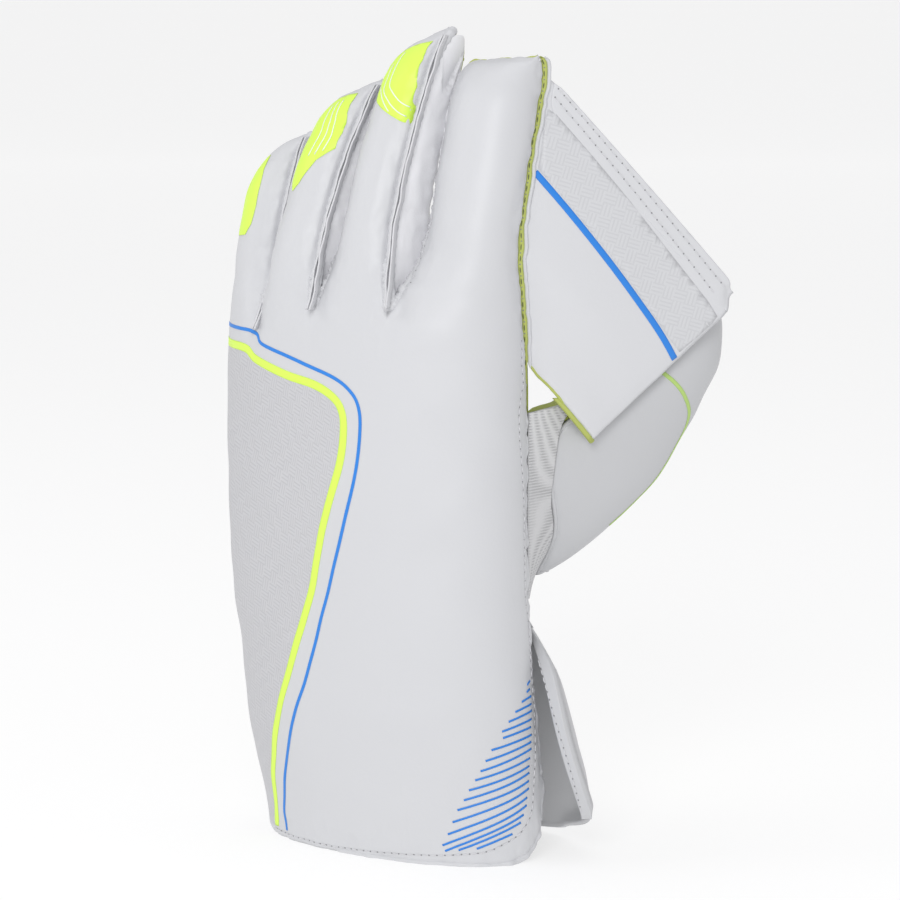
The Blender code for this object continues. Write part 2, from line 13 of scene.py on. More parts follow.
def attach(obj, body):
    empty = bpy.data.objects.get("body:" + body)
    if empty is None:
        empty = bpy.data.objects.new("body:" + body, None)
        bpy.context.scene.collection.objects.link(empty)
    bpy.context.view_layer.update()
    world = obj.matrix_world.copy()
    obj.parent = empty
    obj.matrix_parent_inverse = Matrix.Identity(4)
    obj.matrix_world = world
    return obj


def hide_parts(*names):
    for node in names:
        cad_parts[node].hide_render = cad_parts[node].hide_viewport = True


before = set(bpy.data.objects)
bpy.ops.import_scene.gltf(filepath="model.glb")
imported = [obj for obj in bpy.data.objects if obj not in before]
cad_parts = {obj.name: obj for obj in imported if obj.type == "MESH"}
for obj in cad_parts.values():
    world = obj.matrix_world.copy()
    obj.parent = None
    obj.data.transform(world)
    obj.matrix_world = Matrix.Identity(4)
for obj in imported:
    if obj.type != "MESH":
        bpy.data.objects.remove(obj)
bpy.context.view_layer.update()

MM = 0.001

# Back of the glove: one hide of white coated leather on thin foam, from the cuff's rim
# to four finger ends. It is sewn round its edge, so that it rolls in there and puckers
# between the stitches, and the foam holds the middle out.
LEATHER_WALL = 1.7 * MM
WHITE = (0.60, 0.605, 0.625)
WELD = 0.02 * MM
RIM_TURN = math.radians(48)
QUAD_BEND = math.radians(40)
QUAD_SKEW = math.radians(60)
HAND_AXIS = Vector((-24.1 * MM, -27.6 * MM, 0.0))


def joined(shape):
    """Join a shape's triangles to quads."""
    bmesh.ops.join_triangles(
        shape,
        faces=shape.faces,
        angle_face_threshold=QUAD_BEND,
        angle_shape_threshold=QUAD_SKEW,
    )


def outer_face(node, facing=None):
    """Lift the face of a packed panel that shows off its wall, as an open sheet of quads."""
    shape = bmesh.new()
    shape.from_mesh(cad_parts[node].data)
    bmesh.ops.remove_doubles(shape, verts=shape.verts, dist=WELD)
    turned = [edge for edge in shape.edges if edge.calc_face_angle(0.0) > RIM_TURN]
    bmesh.ops.split_edges(shape, edges=turned)
    middle = sum((vert.co for vert in shape.verts), Vector()) / len(shape.verts)
    left = set(shape.faces)
    best, keep = None, set()
    while left:
        island = {left.pop()}
        front = list(island)
        while front:
            for edge in front.pop().edges:
                for face in edge.link_faces:
                    if face in left:
                        left.discard(face)
                        island.add(face)
                        front.append(face)
        score = 0.0
        for face in island:
            away = facing or (face.calc_center_median() - middle)
            score += face.calc_area() * face.normal.dot(away)
        if best is None or score > best:
            best, keep = score, island
    spare = [face for face in shape.faces if face not in keep]
    bmesh.ops.delete(shape, geom=spare, context="FACES")
    joined(shape)
    return shape


def smoothed(shape, levels):
    """Round a sheet off with Subdivision Surface and return it as a new bmesh."""
    mesh = bpy.data.meshes.new("rough")
    shape.to_mesh(mesh)
    shape.free()
    rough = bpy.data.objects.new("rough", mesh)
    bpy.context.scene.collection.objects.link(rough)
    finer = rough.modifiers.new("finer", "SUBSURF")
    finer.levels = finer.render_levels = levels
    finer.boundary_smooth = "PRESERVE_CORNERS"
    graph = bpy.context.evaluated_depsgraph_get()
    fine = bmesh.new()
    fine.from_mesh(rough.evaluated_get(graph).data)
    bpy.data.objects.remove(rough)
    bpy.data.meshes.remove(mesh)
    fine.normal_update()
    return fine


def ease(value):
    """Ease a share from 0 to 1."""
    share = min(max(value, 0.0), 1.0)
    return share * share * (3 - 2 * share)


def distances(shape, points):
    """Give each vertex its distance to the nearest of some points, and that one's number."""
    tree = KDTree(len(points))
    for index, point in enumerate(points):
        tree.insert(point, index)
    tree.balance()
    return [tree.find(vert.co)[1:] for vert in shape.verts]


def edge_points(shape):
    """List points close together along a sheet's free edge."""
    points = []
    for edge in shape.edges:
        if edge.is_boundary:
            first, last = (vert.co for vert in edge.verts)
            points += [first.lerp(last, share) for share in (0.0, 0.5)]
    return points


def edge_line(shape, start, toward):
    """Walk once round a sheet's free edge from near one place, heading for another."""
    left = {edge for edge in shape.edges if edge.is_boundary}
    loops = []
    while left:
        edge = left.pop()
        vert = edge.verts[1]
        loop = [edge.verts[1]]
        link = edge
        while link is not None:
            link = next((other for other in vert.link_edges if other in left), None)
            if link is not None:
                left.discard(link)
                vert = link.other_vert(vert)
                loop.append(vert)
        loops.append([vert.co.copy() for vert in loop])
    line = max(loops, key=len)
    first = min(range(len(line)), key=lambda index: (line[index] - start).length)
    line = line[first:] + line[:first]
    step = min(12, len(line) // 4)
    if (line[step] - toward).length > (line[-step] - toward).length:
        line = line[:1] + line[:0:-1]
    return line + line[:1]


def swings(line, least):
    """Cut a line where it turns from climbing to falling, or from falling to climbing."""
    turns, low, high, climbing = [0], 0, 0, True
    for index, point in enumerate(line):
        if point.z > line[high].z:
            high = index
        if point.z < line[low].z:
            low = index
        if climbing and line[high].z - point.z > least:
            turns.append(high)
            climbing, low = False, index
        elif not climbing and point.z - line[low].z > least:
            turns.append(low)
            climbing, high = True, index
    turns.append(len(line) - 1)
    return [line[first:last + 1] for first, last in zip(turns, turns[1:])]


def worn_in(shape, roll, roll_width, puff, pucker, pucker_length, crease, seed):
    """Give a sewn sheet its soft relief: rolled edge, foam, puckers and broad creases."""
    edge = distances(shape, edge_points(shape))
    moves = []
    for vert, (_, away) in zip(shape.verts, edge):
        place = vert.co / pucker_length + Vector((seed, 0.0, 0.0))
        gather = noise.noise(place) + 0.5 * noise.noise(place * 2.1)
        broad = Vector((vert.co.x / 0.045, vert.co.y / 0.045, vert.co.z / 0.028))
        fold = noise.noise(broad + Vector((0.0, seed, 0.0))) + 0.4 * noise.noise(2.4 * broad)
        move = puff * ease(away / (4 * roll_width)) - roll * (1 - ease(away / roll_width)) ** 2
        move += pucker * gather * math.exp(-away / (2.2 * roll_width))
        move += crease * fold * ease(away / (3 * roll_width))
        tight = min(1.0, min(link.calc_length() for link in vert.link_edges) / (0.45 * MM))
        moves.append(vert.normal * move * tight)
    for vert, move in zip(shape.verts, moves):
        vert.co += move
    shape.normal_update()


def add_node(tree, kind, values=None, **settings):
    """Add a shader node, set its options and fill or link its inputs."""
    made = tree.nodes.new(kind)
    for option, value in settings.items():
        setattr(made, option, value)
    for name, value in (values or {}).items():
        if isinstance(value, bpy.types.NodeSocket):
            tree.links.new(value, made.inputs[name])
        else:
            made.inputs[name].default_value = value
    return made


def new_group(name, inputs, outputs):
    """Start a shader node group with named numbers going in and out."""
    group = bpy.data.node_groups.new(name, "ShaderNodeTree")
    for label, value in inputs.items():
        kind = "NodeSocketColor" if isinstance(value, tuple) else "NodeSocketFloat"
        made = group.interface.new_socket(label, in_out="INPUT", socket_type=kind)
        made.default_value = value
    for label, kind in outputs.items():
        group.interface.new_socket(label, in_out="OUTPUT", socket_type=kind)
    return group, group.nodes.new("NodeGroupInput"), group.nodes.new("NodeGroupOutput")


leather_grain, taken, given = new_group(
    "leather_grain",
    {"Grain": 900.0, "Colour": (0.8, 0.8, 0.8, 1.0), "Shade": 0.06},
    {"Height": "NodeSocketFloat", "Colour": "NodeSocketColor", "Roughness": "NodeSocketFloat"},
)
place = add_node(leather_grain, "ShaderNodeTexCoord").outputs["Object"]
pebbles = add_node(
    leather_grain,
    "ShaderNodeTexVoronoi",
    {"Vector": place, "Scale": taken.outputs["Grain"]},
    feature="SMOOTH_F1",
)
clouds = add_node(leather_grain, "ShaderNodeTexNoise", {"Vector": place, "Scale": 55.0, "Detail": 5.0})
broad_clouds = add_node(leather_grain, "ShaderNodeTexNoise", {"Vector": place, "Scale": 18.0})
height = add_node(
    leather_grain, "ShaderNodeMath", {0: pebbles.outputs["Distance"], 1: 0.5}, operation="MULTIPLY"
)
height = add_node(
    leather_grain, "ShaderNodeMath", {0: clouds.outputs["Fac"], 1: height.outputs[0]}, operation="ADD"
)
dull = add_node(
    leather_grain,
    "ShaderNodeMath",
    {0: broad_clouds.outputs["Fac"], 1: taken.outputs["Shade"]},
    operation="MULTIPLY",
)
tinted = add_node(
    leather_grain,
    "ShaderNodeMix",
    {"Factor": dull.outputs[0], "A": taken.outputs["Colour"], "B": (0.45, 0.45, 0.5, 1.0)},
    data_type="RGBA",
)
gloss = add_node(
    leather_grain,
    "ShaderNodeMapRange",
    {"Value": clouds.outputs["Fac"], "To Min": 0.40, "To Max": 0.52},
)
leather_grain.links.new(height.outputs[0], given.inputs["Height"])
leather_grain.links.new(tinted.outputs["Result"], given.inputs["Colour"])
leather_grain.links.new(gloss.outputs["Result"], given.inputs["Roughness"])


def coated_leather(name, colour, grain=900.0, shade=0.06, depth=0.12):
    """Make a coated leather: fine pebbles, faint clouding and a soft gloss."""
    material = bpy.data.materials.new(name)
    material.use_nodes = True
    tree = material.node_tree
    shader = tree.nodes["Principled BSDF"]
    coat = add_node(tree, "ShaderNodeGroup", node_tree=leather_grain)
    coat.inputs["Grain"].default_value = grain
    coat.inputs["Colour"].default_value = (*colour, 1.0)
    coat.inputs["Shade"].default_value = shade
    bump = add_node(
        tree,
        "ShaderNodeBump",
        {"Height": coat.outputs["Height"], "Strength": depth, "Distance": 0.4 * MM},
    )
    tree.links.new(coat.outputs["Colour"], shader.inputs["Base Color"])
    tree.links.new(coat.outputs["Roughness"], shader.inputs["Roughness"])
    tree.links.new(bump.outputs["Normal"], shader.inputs["Normal"])
    return material


def finished(name, shape, material, nodes=(), wall=0.0):
    """Turn a bmesh into a named piece that rides on the glove."""
    mesh = bpy.data.meshes.new(name)
    shape.to_mesh(mesh)
    shape.free()
    mesh.shade_smooth()
    mesh.materials.append(material)
    piece = bpy.data.objects.new(name, mesh)
    bpy.context.scene.collection.objects.link(piece)
    if wall:
        solid = piece.modifiers.new("wall", "SOLIDIFY")
        solid.thickness = wall
        solid.offset = -1.0
    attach(piece, "root")
    if nodes:
        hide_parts(*nodes)
    return piece


def surface(shape):
    """Make a tree that rays are cast on."""
    return BVHTree.FromBMesh(shape)


def evenly(points, pitch):
    """Walk along a line of points in even steps."""
    walk = [points[0]]
    need = pitch
    for start, end in zip(points, points[1:]):
        length = (end - start).length
        done = 0.0
        while length - done >= need:
            done += need
            walk.append(start.lerp(end, done / length))
            need = pitch
        need -= length - done
    return walk


def inset(line, ground, distance):
    """Move a line along a sheet's edge inwards over the sheet, and space it evenly."""
    walk = evenly(line, 2.0 * MM)
    moved = []
    for index, point in enumerate(walk):
        ahead = walk[min(index + 2, len(walk) - 1)] - walk[max(index - 2, 0)]
        _, normal, _, _ = ground.find_nearest(point)
        side = normal.cross(ahead).normalized() * distance
        spots = [ground.find_nearest(point + way * side) for way in (-1, 1)]
        moved.append(min(spots, key=lambda spot: spot[3])[0])
    smooth = [
        sum(moved[max(index - 2, 0):index + 3], Vector()) / len(moved[max(index - 2, 0):index + 3])
        for index in range(len(moved))
    ]
    return [ground.find_nearest(point)[0] for point in smooth]


def placed(point, along, normal):
    """Stand a part at a point with its X along a line and its Z off a surface."""
    first = (along - normal * along.dot(normal)).normalized()
    axes = Matrix((first, normal.cross(first), normal)).transposed().to_4x4()
    return Matrix.Translation(point) @ axes


ROLL_STEP = 0.8 * MM
ROLL_SIDES = 10
ROLL_TAPER = 5 * MM
THREAD_LIFT = 0.12 * MM
HOLE_LIFT = 0.02 * MM


def roll(name, line, ground, radius, material, slot, swell=0.12, pitch=3.4 * MM, lift=0.0, seed=0.0):
    """Sew a soft round roll along a line; it swells between its stitches."""
    walk = evenly(line, ROLL_STEP)
    shape = bmesh.new()
    bmesh.ops.create_grid(shape, x_segments=len(walk) - 1, y_segments=ROLL_SIDES, size=0.5)
    for vert in shape.verts:
        index = round((vert.co.x + 0.5) * (len(walk) - 1))
        turn = 2 * math.pi * (vert.co.y + 0.5)
        ahead = walk[min(index + 2, len(walk) - 1)] - walk[max(index - 2, 0)]
        _, normal, _, _ = ground.find_nearest(walk[index])
        step = ROLL_STEP * index
        full = 1 + swell * math.cos(2 * math.pi * step / pitch)
        full += 0.9 * swell * noise.noise(Vector((step / (7 * MM), seed, 0.0)))
        full *= ease(0.35 + min(step, ROLL_STEP * (len(walk) - 1 - index)) / ROLL_TAPER)
        spoke = Vector((0.0, math.cos(turn), math.sin(turn))) * radius * full
        vert.co = placed(walk[index] + normal * lift, ahead, normal) @ spoke
    bmesh.ops.remove_doubles(shape, verts=shape.verts, dist=0.001 * MM)
    open_edges = [edge for edge in shape.edges if edge.is_boundary]
    bmesh.ops.holes_fill(shape, edges=open_edges, sides=ROLL_SIDES)
    bmesh.ops.recalc_face_normals(shape, faces=shape.faces)
    return finished(name, shape, material)


def thread(name, colour):
    """Make a bonded nylon thread."""
    material = bpy.data.materials.new(name)
    material.use_nodes = True
    shader = material.node_tree.nodes["Principled BSDF"]
    shader.inputs["Base Color"].default_value = (*colour, 1.0)
    shader.inputs["Roughness"].default_value = 0.55
    return material


def stitches(name, lines, ground, material, pitch=3.4 * MM, length=2.3 * MM, radius=0.24 * MM):
    """Run stitches along lines on a surface, and set flat dark discs between them as painted shade in
    the needle holes.
    """
    shape = bmesh.new()
    holes = bmesh.new()
    for line in lines:
        walk = evenly(line, pitch)
        for start, end in zip(walk, walk[1:]):
            middle, normal, _, _ = ground.find_nearest((start + end) / 2)
            seat = placed(middle + normal * THREAD_LIFT, end - start, normal)
            stretch = Matrix.Diagonal((length / (2 * radius), 1.0, 0.8, 1.0))
            bmesh.ops.create_uvsphere(
                shape, u_segments=8, v_segments=5, radius=radius, matrix=seat @ stretch
            )
            spot, normal, _, _ = ground.find_nearest(start)
            seat = placed(spot + normal * HOLE_LIFT, end - start, normal)
            flat = Matrix.Diagonal((1.0, 1.0, 0.25, 1.0))
            bmesh.ops.create_uvsphere(
                holes, u_segments=8, v_segments=4, radius=1.35 * radius, matrix=seat @ flat
            )
    finished(name + "_needle_hole_shade", holes, hole_shadow)
    return finished(name, shape, material)


def round_hand(ground, degrees, height):
    """Find the point of a surface at degrees round the hand and a height in millimetres."""
    turn = math.radians(degrees)
    out = Vector((math.sin(turn), -math.cos(turn), 0.0))
    level = HAND_AXIS + Vector((0.0, 0.0, height * MM))
    point, normal, _, _ = ground.ray_cast(level + out * 0.15, -out, 0.15)
    if point is None:
        point, normal, _, _ = ground.find_nearest(level + out * 0.05)
    return point, normal


def flowing(points, pieces=10):
    """Draw a smooth line through some places."""
    last = len(points) - 1
    line = []
    for index in range(last):
        before, start, end, after = (
            points[min(max(index + step, 0), last)] for step in (-1, 0, 1, 2)
        )
        for part in range(pieces):
            share = part / pieces
            square, cube = share * share, share * share * share
            line.append(
                tuple(
                    0.5
                    * (
                        2 * s
                        + (e - b) * share
                        + (2 * b - 5 * s + 4 * e - a) * square
                        + (3 * s - b - 3 * e + a) * cube
                    )
                    for b, s, e, a in zip(before, start, end, after)
                )
            )
    line.append(tuple(points[-1]))
    return line


white_thread = thread("white_thread", (0.62, 0.62, 0.64))
dark_thread = thread("dark_thread", (0.10, 0.12, 0.05))
hole_shadow = thread("needle_hole_shadow", (0.24, 0.24, 0.25))
white_leather = coated_leather("white_back_leather", WHITE)
hide = smoothed(outer_face("back_panel"), 3)
worn_in(
    hide,
    roll=1.0 * MM,
    roll_width=2.6 * MM,
    puff=0.5 * MM,
    pucker=0.9 * MM,
    pucker_length=5.0 * MM,
    crease=1.25 * MM,
    seed=3.0,
)
KNUCKLES = 205 * MM
KNUCKLE_REACH = 16 * MM
WRINKLE = 0.35 * MM
for vert in hide.verts:
    near = math.exp(-(((vert.co.z - KNUCKLES) / KNUCKLE_REACH) ** 2))
    wrinkle = noise.noise(Vector((vert.co.x / 0.016, vert.co.y / 0.05, vert.co.z / 0.006)))
    vert.co += vert.normal * WRINKLE * near * wrinkle
back_surface = surface(hide)
RIM_FRONT = Vector((-24 * MM, -64 * MM, 0.0))
RIM_THUMB_SIDE = Vector((30 * MM, -50 * MM, 0.0))
LEAST_SWING = 15 * MM
hide_seams = swings(edge_line(hide, RIM_FRONT, RIM_THUMB_SIDE), LEAST_SWING)
finished("back_leather", hide, white_leather, ["back_panel"], LEATHER_WALL)
BEAD_TOP = 176 * MM
thumb_side = [point for point in hide_seams[0] if point.z < BEAD_TOP]
roll(
    "back_edge_bead", thumb_side, back_surface, 1.6 * MM, white_leather, "back_leather", swell=0.03,
    lift=-0.6 * MM,
)
INDEX_BEAD_TOP = 279 * MM
FIRST_STITCH = 30
index_left = [point for point in hide_seams[1] if point.z < INDEX_BEAD_TOP]
roll(
    "index_side_bead", index_left, back_surface, 1.8 * MM, white_leather, "back_leather",
    swell=0.16, lift=-0.4 * MM, seed=4.0,
)
index_rows = [inset(index_left[FIRST_STITCH:], back_surface, 3.4 * MM)]
stitches(
    "index_side_stitches", index_rows, back_surface, white_thread,
    pitch=5.0 * MM, length=1.6 * MM, radius=0.22 * MM,
)
on_back = partial(round_hand, back_surface)
EDGE_ROW = [
    (94.0, 188.0), (93.4, 181.9), (94.5, 172.9), (91.9, 158.7), (94.4, 131.0),
    (96.2, 94.7), (98.4, 77.3), (98.6, 50.0), (95.4, 23.0), (89.8, 12.8), (82.4, 7.5), (75.4, 5.0),
    (54.1, 3.2), (20.0, 2.2), (-9.9, 1.8), (-54.0, 2.2), (-67.9, 2.7),
]
edge_row = [on_back(*spot)[0] for spot in flowing(EDGE_ROW)]
stitches("back_edge_stitches", [edge_row], back_surface, white_thread, pitch=3.0 * MM)

PUCKER_POINTS = 16
for number, seam in enumerate((1, 3, 5)):
    fold_line = hide_seams[seam][-PUCKER_POINTS:] + hide_seams[seam + 1][1:PUCKER_POINTS]
    roll(
        f"crotch_pucker_{number}", fold_line, back_surface, 1.3 * MM, white_leather, "back_leather",
        swell=0.3, pitch=2.6 * MM, lift=-0.1 * MM, seed=20.0 + number,
    )

# Side walls of the fingers: softer white leather, one strip for two neighbouring
# fingers, folded at their crotch. Their sewn edges are gathered, so they pucker. Painted
# light: a lighter colour than the back's and a faint glow lift them where they stand in shade.
GUSSET_GATHER = 0.6 * MM
GUSSET_PUCKER = 4.5 * MM
GUSSET_FULL = 3.2 * MM
GUSSET_TOP = 30 * MM
SLICE = 8 * MM
# Painted light: the gusset leather's colour is set lighter than the back's and its shader glows
# faintly, to lift the shade between the fingers.
gusset_leather_painted_light = coated_leather("white_gusset_leather_painted_light", (0.78, 0.78, 0.80), grain=1100.0)
gusset_painted_glow_shader = gusset_leather_painted_light.node_tree.nodes["Principled BSDF"]
gusset_painted_glow_shader.inputs["Emission Color"].default_value = (0.95, 0.95, 1.0, 1.0)
gusset_painted_glow_shader.inputs["Emission Strength"].default_value = 0.05
for number, node in enumerate(["little_ring_gusset", "ring_middle_gusset", "middle_index_gusset"]):
    strip = bmesh.new()
    strip.from_mesh(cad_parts[node].data)
    bmesh.ops.remove_doubles(strip, verts=strip.verts, dist=WELD)
    joined(strip)
    strip = smoothed(strip, 3)
    slices = {}
    top = max(vert.co.z for vert in strip.verts)
    for vert in strip.verts:
        slices.setdefault(int(vert.co.z / SLICE), []).append(vert)
    for ring in slices.values():
        left, right = min(vert.co.x for vert in ring), max(vert.co.x for vert in ring)
        near, far = min(vert.co.y for vert in ring), max(vert.co.y for vert in ring)
        for vert in ring:
            side = 1 if vert.co.x < (left + right) / 2 else -0.8
            full = GUSSET_FULL * ease((top - vert.co.z) / GUSSET_TOP)
            vert.co.x += side * full * ease((vert.co.y - near) / (far - near))
    for vert in strip.verts:
        place = vert.co / GUSSET_PUCKER + Vector((10.0 + number, 0.0, 0.0))
        vert.co += noise.noise_vector(place) * GUSSET_GATHER * ease((top - vert.co.z) / GUSSET_TOP)
    finished(node + "_leather", strip, gusset_leather_painted_light, [node])

# Seam welts on the fingers: the raw edges of two hides turned out and sewn through.
# The two plies stand up side by side, wavy, with a dark line between them, beside a
# round ridge where the back's leather is turned in.
PLY_WALL = 0.6 * MM
VIEW_BEARING = 36
VIEW_TURN = math.radians(VIEW_BEARING)
ACROSS_VIEW = Vector((math.cos(VIEW_TURN), math.sin(VIEW_TURN), 0.0))
WELT_OUT = 1.5 * MM
RIDGE_RADIUS = 1.8 * MM
welt_leather = coated_leather("white_welt_leather", (0.64, 0.64, 0.66), grain=1300.0)
PLY_SIDES = [Vector((-1.0, -0.3, 0.0)), Vector((1.0, 0.3, 0.0))]
for number, finger in enumerate(["little", "ring", "middle"]):
    plies = bmesh.new()
    for side, facing in enumerate(PLY_SIDES):
        ply = smoothed(outer_face(finger + "_welt", facing), 3)
        seed = 7.0 * number + 2.0 * side
        for vert in ply.verts:
            along = Vector((seed, 0.0, vert.co.z / (9 * MM)))
            fine = Vector((seed, 5.0, vert.co.z / (3 * MM)))
            sway = 0.55 * noise.noise(along) + 0.18 * noise.noise(fine)
            vert.co += facing * (sway + 0.12) * MM + ACROSS_VIEW * WELT_OUT
            vert.co.y -= 0.35 * noise.noise(fine * 0.7) * MM
        passing = bpy.data.meshes.new("ply")
        ply.to_mesh(passing)
        ply.free()
        plies.from_mesh(passing)
        bpy.data.meshes.remove(passing)
    finished(finger + "_seam_welt", plies, welt_leather, [finger + "_welt"], PLY_WALL)
    ridge = evenly(hide_seams[6 - 2 * number], 2 * MM)
    ridge = [point + ACROSS_VIEW * WELT_OUT for point in ridge]
    roll(
        finger + "_seam_ridge", ridge, back_surface, RIDGE_RADIUS, white_leather, "back_leather",
        swell=0.08, lift=-0.5 * MM, seed=3.0 + number,
    )

# Thumb stall: the same white leather over the outer half of the thumb, drawn tight
# over its foam, with a bead sewn along its edge.
# Painted shade: the thumb's leather is given a darker colour than the back's same white leather, for
# the shade on this side of the glove.
thumb_leather = coated_leather("white_thumb_leather_painted_shade", (0.52, 0.525, 0.54))
stall = smoothed(outer_face("thumb_stall"), 3)
worn_in(
    stall,
    roll=0.8 * MM,
    roll_width=2.4 * MM,
    puff=0.6 * MM,
    pucker=0.35 * MM,
    pucker_length=6.5 * MM,
    crease=0.8 * MM,
    seed=21.0,
)
stall_surface = surface(stall)
stall_line = edge_line(stall, Vector((0.025, 0.008, 0.100)), Vector((0.037, 0.0, 0.14)))
finished("thumb_leather", stall, thumb_leather, ["thumb_stall"], LEATHER_WALL)
roll(
    "thumb_edge_bead", stall_line, stall_surface, 1.0 * MM, thumb_leather, "thumb_leather",
    swell=0.05, lift=-0.3 * MM, seed=7.0,
)

# Palm, finger fronts and thumb face: moulded lime rubber with rows of small pimples
# that grip the ball, cemented on cotton and sewn into the side seams.
RUBBER_WALL = 1.6 * MM
LIME_RUBBER = (0.44, 0.50, 0.085)


def moulded_rubber(name, colour):
    """Make a matt rubber with fine mould marks and darker clouds of dust."""
    material = bpy.data.materials.new(name)
    material.use_nodes = True
    tree = material.node_tree
    shader = tree.nodes["Principled BSDF"]
    where = add_node(tree, "ShaderNodeTexCoord").outputs["Object"]
    speck = add_node(tree, "ShaderNodeTexNoise", {"Vector": where, "Scale": 700.0, "Detail": 4.0})
    cloud = add_node(tree, "ShaderNodeTexNoise", {"Vector": where, "Scale": 60.0, "Detail": 3.0})
    dark = tuple(0.72 * part for part in colour)
    mixed = add_node(
        tree,
        "ShaderNodeMix",
        {"Factor": cloud.outputs["Fac"], "A": (*dark, 1.0), "B": (*colour, 1.0)},
        data_type="RGBA",
    )
    bump = add_node(
        tree,
        "ShaderNodeBump",
        {"Height": speck.outputs["Fac"], "Strength": 0.25, "Distance": 0.3 * MM},
    )
    tree.links.new(mixed.outputs["Result"], shader.inputs["Base Color"])
    tree.links.new(bump.outputs["Normal"], shader.inputs["Normal"])
    shader.inputs["Roughness"].default_value = 0.68
    return material


palm_lime = moulded_rubber("lime_palm_rubber", LIME_RUBBER)
palm = smoothed(outer_face("palm_rubber"), 2)
worn_in(
    palm,
    roll=0.5 * MM,
    roll_width=2.0 * MM,
    puff=0.2 * MM,
    pucker=0.2 * MM,
    pucker_length=8.0 * MM,
    crease=0.5 * MM,
    seed=31.0,
)


def drawn_in(shape, along, height, reach, pull):
    """Draw a sheet in round a place that is given across the view and by its height."""
    for vert in shape.verts:
        place = Vector((vert.co.dot(ACROSS_VIEW) - along, vert.co.z - height))
        share = 1 - ease(place.length / reach)
        vert.co += (ACROSS_VIEW * pull[0] + Vector((0.0, 0.0, pull[1]))) * share * share


TIP_DROP = 2.2 * MM
UNDER_WEB = (27 * MM, 168 * MM, 14 * MM, (0.0, -5.0 * MM))
for vert in palm.verts:
    vert.co.z -= TIP_DROP * ease((vert.co.z - 200 * MM) / (50 * MM))
drawn_in(palm, *UNDER_WEB)
palm_surface = surface(palm)
finished("palm_face", palm, palm_lime, ["palm_rubber"], RUBBER_WALL)
thumb_face = smoothed(outer_face("thumb_facing"), 2)
worn_in(
    thumb_face,
    roll=0.4 * MM,
    roll_width=1.8 * MM,
    puff=0.2 * MM,
    pucker=0.15 * MM,
    pucker_length=8.0 * MM,
    crease=0.3 * MM,
    seed=33.0,
)
drawn_in(thumb_face, *UNDER_WEB)
finished("thumb_face", thumb_face, palm_lime, ["thumb_facing"], RUBBER_WALL)

PIMPLE_PITCH = 3.3 * MM
PIMPLE_HEIGHT = 0.7 * MM
PIMPLE_FOOT = 0.95 * MM
PIMPLE_TOP = 0.55 * MM
ROW_SHARE = 0.87
PIMPLES_LOW = (-0.086, 0.103)
PIMPLES_HIGH = (0.086, 0.290)


def pimpled(name, ground, look, low, high, least_facing):
    """Set rows of pimples on a rubber face, seen along a level direction."""
    across = Vector((-look.y, look.x, 0.0))
    shape = bmesh.new()
    rows = int((high[1] - low[1]) / (PIMPLE_PITCH * ROW_SHARE))
    columns = int((high[0] - low[0]) / PIMPLE_PITCH)
    for row in range(rows):
        for column in range(columns):
            u = low[0] + (column + 0.5 * (row % 2)) * PIMPLE_PITCH
            v = low[1] + row * PIMPLE_PITCH * ROW_SHARE
            start = across * u - look * 0.3 + Vector((0.0, 0.0, v))
            point, normal, _, _ = ground.ray_cast(start, look)
            if point is None or normal.dot(look) > -least_facing:
                continue
            turn = normal.to_track_quat("Z", "Y").to_matrix().to_4x4()
            bmesh.ops.create_cone(
                shape,
                cap_ends=True,
                cap_tris=False,
                segments=6,
                radius1=PIMPLE_FOOT,
                radius2=PIMPLE_TOP,
                depth=PIMPLE_HEIGHT,
                matrix=Matrix.Translation(point + normal * PIMPLE_HEIGHT * 0.35) @ turn,
            )
    return finished(name, shape, palm_lime)


pimpled("palm_pimples", palm_surface, Vector((0.0, -1.0, 0.0)), PIMPLES_LOW, PIMPLES_HIGH, 0.76)

# Lime edging: narrow rubber strips down the index finger's side and along the web's
# lower edge, sewn in between the leathers with dark thread.
lime_edging = moulded_rubber("lime_rubber_edging", (0.50, 0.56, 0.14))
piping = smoothed(outer_face("index_piping"), 2)
PIPING_SWELL = 1.3 * MM
for vert in piping.verts:
    vert.co += vert.normal * PIPING_SWELL
piping_surface = surface(piping)
finished("index_edging", piping, lime_edging, ["index_piping"], LEATHER_WALL)
edging_line = evenly([point for point in hide_seams[0] if point.z > BEAD_TOP], 2 * MM)
EDGING_OUT = 0.9 * MM
STRIP_OUT = 2.6 * MM
cord_line = [point + ACROSS_VIEW * EDGING_OUT for point in edging_line]
strip_line = [point + ACROSS_VIEW * STRIP_OUT for point in edging_line]
roll(
    "index_edging_cord", cord_line, back_surface, 1.15 * MM, lime_edging, "lime_edging", swell=0.03,
)
roll(
    "edging_white_strip", strip_line, back_surface, 0.75 * MM, white_leather, "lime_edging",
    swell=0.03, seed=2.0,
)
cord_shape = bmesh.new()
cord_shape.from_mesh(bpy.data.objects["index_edging_cord"].data)
TOWARD_VIEW = Vector((math.sin(VIEW_TURN), -math.cos(VIEW_TURN), 0.0))
CORD_FRONT = 1.5 * MM
cord_front = [point + TOWARD_VIEW * CORD_FRONT for point in cord_line]
stitches(
    "index_edging_stitches", [cord_front], surface(cord_shape), dark_thread,
    pitch=4.2 * MM, length=2.2 * MM, radius=0.2 * MM,
)
cord_shape.free()
TIP_EDGING_FOOT = 284 * MM
tip_line = [point for point in hide_seams[1] if point.z > TIP_EDGING_FOOT]
roll(
    "index_tip_edging", tip_line, back_surface, 0.7 * MM, lime_edging, "lime_edging", swell=0.03,
    lift=-0.2 * MM,
)
cord = bmesh.new()
cord.from_mesh(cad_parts["web_piping"].data)
bmesh.ops.remove_doubles(cord, verts=cord.verts, dist=WELD)
CORD_TOP = 166.0 * MM
whole = cord.verts[:] + cord.edges[:] + cord.faces[:]
